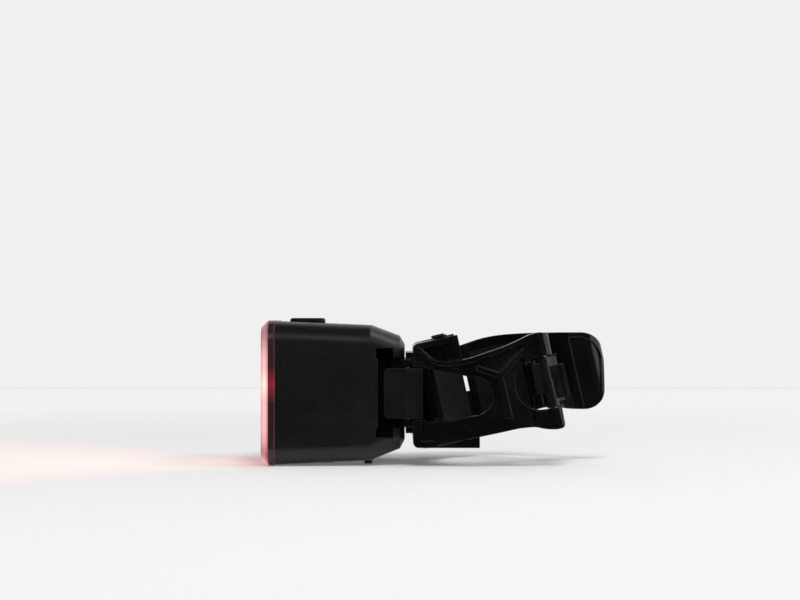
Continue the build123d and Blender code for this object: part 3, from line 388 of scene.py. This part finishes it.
def rolled_metal(name, dark, light, edge):
    """Nickel or tinned steel rolled to strip: satin, with streaks along the rolling.

    The streaks are 0.5 mm apart, coarser than real ones, so that they show.
    """
    material, tree, shader, place = surface(name, dark, 0.3, Metallic=1.0)
    mottle(tree, shader, place, 1.5 * mm, dark, light)
    grain(tree, shader, place, 0.5 * mm, 0.012 * mm, edge=edge, stretch=(0.1, 1.0, 1.0))
    vary(tree, shader, place, 1 * mm, 0.2, 0.36)
    return material


def acetal():
    """Ivory acetal of the switch's plunger: waxy and a little see-through."""
    material, tree, shader, place = surface("acetal", "#d8d2c4", 0.4, **{"Subsurface Weight": 0.2})
    shader.inputs["Subsurface Radius"].default_value = (0.6 * mm, 0.5 * mm, 0.4 * mm)
    mottle(tree, shader, place, 1 * mm, "#cfc8b8", "#dfdacd")
    grain(tree, shader, place, 0.3 * mm, 0.006 * mm, edge=0.1 * mm)
    vary(tree, shader, place, 1 * mm, 0.32, 0.48)
    return material


nylon = polished_nylon()
pad_rubber = moulded_rubber("pad_rubber", "#070708", "#0b0b0c")
button_rubber = moulded_rubber("button_rubber", "#121214", "#18181a")
pin_steel = ground_steel("pin_steel", (1.0, 1.0, 0.2))
finishes = {
    "housing": spark_eroded_abs(),
    "lens_cover": lit_polycarbonate(),
    "lens_bezel": lit_from_lens("smoked_rim_plastic", "#1f1719", 0.25, "#b0283a", "#2e1a1d"),
    "lens_seal": lit_from_lens("seal_silicone", "#2c1c1f", 0.4, "#b04a58", "#574146"),
    "optic": clear_acrylic(),
    "emitters": lit_phosphor(),
    "circuit_board": board_mask(),
    "board_chips": moulded_epoxy("chip_epoxy", "#141416", "#1d1d20"),
    "board_screws": ground_steel("screw_steel", (1.0, 1.0, 1.0)),
    "battery": laminate_pouch(),
    "battery_pad": open_foam(),
    "battery_leads": rolled_metal("nickel_strip", "#a8a395", "#bcb7a8", 0.08 * mm),
    "charging_socket": rolled_metal("tinned_shell", "#b2b2b4", "#c8c8ca", 0.15 * mm),
    "power_switch": moulded_epoxy("switch_nylon", "#1e1e21", "#2c2c2f"),
    "switch_plunger": acetal(),
    "button_cap": button_rubber,
    "port_cover": button_rubber,
    "bracket": nylon,
    "clamp_arm": nylon,
    "saddle_pad": pad_rubber,
    "near_arm_pad": pad_rubber,
    "clamp_arm_pad": pad_rubber,
    "release_tab": satin_nylon("grey_satin_nylon", "#100f10", "#161415", 0.28, 0.38),
    "latch": satin_nylon("black_satin_nylon", "#111112", "#171718", 0.26, 0.36),
    "tab_pin": pin_steel,
    "hinge_pin": pin_steel,
    "latch_pin": pin_steel,
}
for node, finish in finishes.items():
    mesh = nodes[node].data
    mesh.materials.clear()
    mesh.materials.append(finish)


def lens_prisms():
    """The pyramids moulded on the inside of the lens, in rows, on a thin base."""
    optic_low, optic_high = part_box("optic")
    half = (optic_high.y - optic_low.y) / 2 - prism_margin
    base_x = optic_low.x - prism_lead
    shape = bmesh.new()
    bmesh.ops.create_grid(shape, x_segments=prism_rows, y_segments=prism_rows, size=half)
    cells = shape.faces[:]
    bmesh.ops.inset_individual(shape, faces=cells, thickness=prism_gap)
    bmesh.ops.poke(shape, faces=cells, offset=prism_height)
    rim = [edge for edge in shape.edges if edge.is_boundary]
    grown = bmesh.ops.extrude_edge_only(shape, edges=rim)["geom"]
    back = [item for item in grown if isinstance(item, bmesh.types.BMVert)]
    bmesh.ops.translate(shape, verts=back, vec=(0.0, 0.0, -prism_base))
    bmesh.ops.holes_fill(shape, edges=[edge for edge in shape.edges if edge.is_boundary], sides=0)
    bmesh.ops.recalc_face_normals(shape, faces=shape.faces[:])
    place = Matrix.Translation((base_x, lens_middle.y, lens_middle.z))
    turn = Matrix.Rotation(math.pi / 2, 4, "Y")
    bmesh.ops.transform(shape, matrix=place @ turn, verts=shape.verts[:])
    mesh = bpy.data.meshes.new("lens_prisms")
    shape.to_mesh(mesh)
    shape.free()
    mesh.materials.append(prism_polycarbonate())
    piece = bpy.data.objects.new("lens_prisms", mesh)
    bpy.context.scene.collection.objects.link(piece)
    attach(piece, "head")


lens_prisms()

# The stage: a white board that ends at the paper, lit by the beam of the light's lower sources
board_half = 2.5
paper_y = 0.51
# The strip before the paper is painted greyer: painted shade where the board meets the paper
shade_strip_start_y = paper_y - 15 * mm
shade_strip_end_y = shade_strip_start_y + 1 * mm
beam_middle_y = lens_middle.y - 4 * mm
beam_start = 5 * mm
beam_slope = 1.27
beam_onset = 2.5 * mm
beam_least = 1 * mm
beam_fade = (60 * mm, 420 * mm)
fringe_shares = (0.6, 1.15)
core_shares = (0.1, 0.85)
# The pink halo at the lens is painted light from the lens, put into the board's colour
halo_fade = (1 * mm, 9 * mm)
halo_side_share = 0.25
halo_strength = 0.8
shadow_fade = (60 * mm, 350 * mm)
far_own_share = 0.9
near_loss_share = 0.75


def shows_background(tree):
    """1 for rays that show the background itself, straight on or in gloss and glass."""
    path = add(tree, "ShaderNodeLightPath").outputs
    seen = add(tree, "ShaderNodeMath", {0: path["Is Camera Ray"], 1: path["Is Glossy Ray"]},
               operation="MAXIMUM")
    return add(tree, "ShaderNodeMath", {0: seen, 1: path["Is Transmission Ray"]}, operation="MAXIMUM")


def stage_material(name):
    """An empty material for a surface of the stage, and its nodes."""
    material = bpy.data.materials.new(name)
    material.use_nodes = True
    material.node_tree.nodes.clear()
    return material, material.node_tree


def backdrop_paper():
    """Seamless paper behind the light, seen at its own tone."""
    material, tree = stage_material("backdrop_paper")
    paper = add(tree, "ShaderNodeBsdfDiffuse", {"Color": "#f0f0f0"})
    tone = add(tree, "ShaderNodeEmission", {"Color": "#f0f0f0", "Strength": 1.0})
    mix = add(tree, "ShaderNodeMixShader", {0: shows_background(tree), 1: paper, 2: tone})
    add(tree, "ShaderNodeOutputMaterial", {"Surface": mix})
    return material


def beam_levels(tree, ahead, aside):
    """How strong the beam's red fringe and its pale core are, from a place ahead and aside of the lens."""
    grown = add(tree, "ShaderNodeMath", {0: ahead, 1: beam_slope}, operation="MULTIPLY")
    half_width = add(tree, "ShaderNodeMath", {0: grown, 1: beam_start}, operation="ADD")
    width = add(tree, "ShaderNodeMath", {0: half_width, 1: beam_least}, operation="MAXIMUM")
    share = add(tree, "ShaderNodeMath", {0: aside, 1: width}, operation="DIVIDE")
    started = add(tree, "ShaderNodeMapRange",
                  {"Value": ahead, "From Min": beam_onset, "From Max": 0.0, **falling},
                  interpolation_type="SMOOTHSTEP")
    far = add(tree, "ShaderNodeMapRange",
              {"Value": ahead, "From Min": beam_fade[0], "From Max": beam_fade[1], **falling})
    level = add(tree, "ShaderNodeMath", {0: started, 1: far}, operation="MULTIPLY")
    levels = []
    for start, end in (fringe_shares, core_shares):
        across = add(tree, "ShaderNodeMapRange",
                     {"Value": share, "From Min": start, "From Max": end, **falling},
                     interpolation_type="SMOOTHSTEP")
        levels.append(add(tree, "ShaderNodeMath", {0: across, 1: level}, operation="MULTIPLY"))
    return levels


def board_tone_with_painted_light(tree, ahead, aside, across):
    """White tone, with a strip of painted shade before the paper and a pink halo of painted light at the
    lens.
    """
    # Pink halo of the lens's light on the board near the lens: painted light
    sideways = add(tree, "ShaderNodeMath", {0: aside, 1: halo_side_share}, operation="MULTIPLY")
    from_lens = add(tree, "ShaderNodeCombineXYZ", {0: ahead, 1: sideways})
    gap = add(tree, "ShaderNodeVectorMath", {0: from_lens}, operation="LENGTH").outputs["Value"]
    halo = add(tree, "ShaderNodeMapRange",
               {"Value": gap, "From Min": halo_fade[0], "From Max": halo_fade[1], **falling},
               interpolation_type="SMOOTHSTEP")
    strength = add(tree, "ShaderNodeMath", {0: halo, 1: halo_strength}, operation="MULTIPLY")
    # Greyer strip just before the paper: painted shade where the board meets the paper
    before = add(tree, "ShaderNodeMapRange",
                 {"Value": across, "From Min": shade_strip_start_y, "From Max": shade_strip_end_y, **falling},
                 interpolation_type="SMOOTHSTEP")
    white_with_painted_shade = add(tree, "ShaderNodeMix", {0: before, 6: "#eaeaea", 7: "#f4f4f4"}, data_type="RGBA").outputs[2]
    return add(tree, "ShaderNodeMix", {0: strength, 6: white_with_painted_shade, 7: "#f6e4e5"}, data_type="RGBA").outputs[2]


def white_board():
    """Matt white board that keeps the shadow, with the beam's pale red light across it."""
    material, tree = stage_material("white_board")
    place = add(tree, "ShaderNodeTexCoord").outputs["Object"]
    split = add(tree, "ShaderNodeSeparateXYZ", {0: place}).outputs
    ahead = add(tree, "ShaderNodeMath", {0: lens_front_x, 1: split[0]}, operation="SUBTRACT")
    offset = add(tree, "ShaderNodeMath", {0: split[1], 1: beam_middle_y}, operation="SUBTRACT")
    aside = add(tree, "ShaderNodeMath", {0: offset}, operation="ABSOLUTE")
    fringe, core = beam_levels(tree, ahead, aside)
    tone = board_tone_with_painted_light(tree, ahead, aside, split[1])
    board = add(tree, "ShaderNodeBsdfDiffuse", {"Color": tone})
    seen = add(tree, "ShaderNodeEmission", {"Color": tone, "Strength": 1.0})
    distance = add(tree, "ShaderNodeVectorMath", {0: place}, operation="LENGTH").outputs["Value"]
    near = add(tree, "ShaderNodeMapRange",
               {"Value": distance, "From Min": shadow_fade[0], "From Max": shadow_fade[1], **falling},
               interpolation_type="SMOOTHSTEP")
    loss = add(tree, "ShaderNodeMath", {0: near, 1: near_loss_share}, operation="MULTIPLY")
    own_share = add(tree, "ShaderNodeMath", {0: far_own_share, 1: loss}, operation="SUBTRACT")
    direct = add(tree, "ShaderNodeMath", {0: shows_background(tree), 1: own_share}, operation="MULTIPLY")
    mix = add(tree, "ShaderNodeMixShader", {0: direct, 1: board, 2: seen})
    red = add(tree, "ShaderNodeEmission", {"Strength": fringe, "Color": "#591d00"})
    pale = add(tree, "ShaderNodeEmission", {"Strength": core, "Color": "#3f4538"})
    beam = add(tree, "ShaderNodeAddShader", {0: red, 1: pale})
    both = add(tree, "ShaderNodeAddShader", {0: mix, 1: beam})
    add(tree, "ShaderNodeOutputMaterial", {"Surface": both})
    return material


def black_card():
    """Black card of the studio's dark side, which keeps pale reflections off the black plastic."""
    material, tree = stage_material("black_card")
    card = add(tree, "ShaderNodeBsdfDiffuse", {"Color": "#0c0c0c"})
    add(tree, "ShaderNodeOutputMaterial", {"Surface": card})
    return material


def stage_plane(name, corners, material):
    """A flat surface of the stage, from its corners in order."""
    mesh = bpy.data.meshes.new(name)
    mesh.from_pydata(corners, [], [range(len(corners))])
    mesh.materials.append(material)
    piece = bpy.data.objects.new(name, mesh)
    bpy.context.scene.collection.objects.link(piece)
    return piece


stage_plane("floor", [(-board_half, -board_half, 0), (board_half, -board_half, 0),
                      (board_half, paper_y, 0), (-board_half, paper_y, 0)], white_board())
stage_plane("wall", [(-board_half, paper_y, 0), (board_half, paper_y, 0),
                     (board_half, paper_y, board_half), (-board_half, paper_y, board_half)],
            backdrop_paper())

# Black cards in front, overhead and on the floor's near part
card_half = 1.2
card_front_y = -0.8
ceiling_z = 0.75
ceiling_back_y = 0.3
apron_z = 0.5 * mm
apron_start_y = -28 * mm
card_black = black_card()


def gloss_card(name, near, far):
    """A card between two (y, z) edges that gloss alone sees, so that the blacks stay deep."""
    corners = [(-card_half, *near), (card_half, *near), (card_half, *far), (-card_half, *far)]
    card = stage_plane(name, corners, card_black)
    for ray in ("visible_camera", "visible_diffuse", "visible_transmission", "visible_shadow"):
        setattr(card, ray, False)


gloss_card("front_card", (card_front_y, apron_z), (card_front_y, ceiling_z))
gloss_card("ceiling_card", (card_front_y, ceiling_z), (ceiling_back_y, ceiling_z))
gloss_card("apron_card", (card_front_y, apron_z), (apron_start_y, apron_z))


def softbox(name, place, target_z, size, power, in_gloss=True):
    """A rectangular lamp turned towards a height above the origin, with or without its own reflection."""
    lamp = bpy.data.lights.new(name, "AREA")
    lamp.shape = "RECTANGLE"
    lamp.size, lamp.size_y = size
    lamp.energy = power
    holder = bpy.data.objects.new(name, lamp)
    holder.location = place
    aim = Vector((0.0, 0.0, target_z)) - Vector(place)
    holder.rotation_euler = aim.to_track_quat("-Z", "Y").to_euler()
    holder.visible_glossy = in_gloss
    bpy.context.scene.collection.objects.link(holder)


softbox("overhead_softbox", place=(0.05, 0.1, 1.4), target_z=0.0, size=(0.9, 0.7), power=3.1, in_gloss=False)
softbox("key_softbox", place=(0.05, -0.5, 0.95), target_z=0.0, size=(0.4, 0.3), power=4.8, in_gloss=False)
softbox("front_softbox", place=(0.05, -0.75, 0.36), target_z=0.02, size=(0.8, 0.22), power=1.0)
softbox("right_strip", place=(0.75, -0.35, 0.45), target_z=0.02, size=(0.25, 0.7), power=0.4)
softbox("rear_softbox", place=(0.5, -0.12, 0.68), target_z=0.02, size=(0.3, 0.25), power=1.6)


def studio_world():
    """Pale surroundings where they are seen, and a dim fill for everything they light."""
    world = bpy.data.worlds.new("studio")
    world.use_nodes = True
    tree = world.node_tree
    tree.nodes.clear()
    seen = shows_background(tree)
    level = add(tree, "ShaderNodeMix", {0: seen, 6: "#4a4a4a", 7: "#f1f1f1"}, data_type="RGBA")
    sky = add(tree, "ShaderNodeBackground", {"Color": level.outputs[2], "Strength": 1.0})
    add(tree, "ShaderNodeOutputWorld", {"Surface": sky})
    bpy.context.scene.world = world


studio_world()


def photo_camera():
    """The photograph's camera, turned up a little so that the horizon falls below the middle."""
    lens = bpy.data.cameras.new("camera")
    lens.sensor_width = sensor_width
    lens.lens = focal_px / photo_width_px * sensor_width
    lens.clip_start, lens.clip_end = 0.01, 20.0
    camera = bpy.data.objects.new("camera", lens)
    camera.location = camera_place
    camera.rotation_euler = (math.pi / 2 + math.atan(horizon_px / focal_px), 0, 0)
    bpy.context.scene.collection.objects.link(camera)
    bpy.context.scene.camera = camera


photo_camera()
bpy.context.scene.view_settings.view_transform = "Standard"
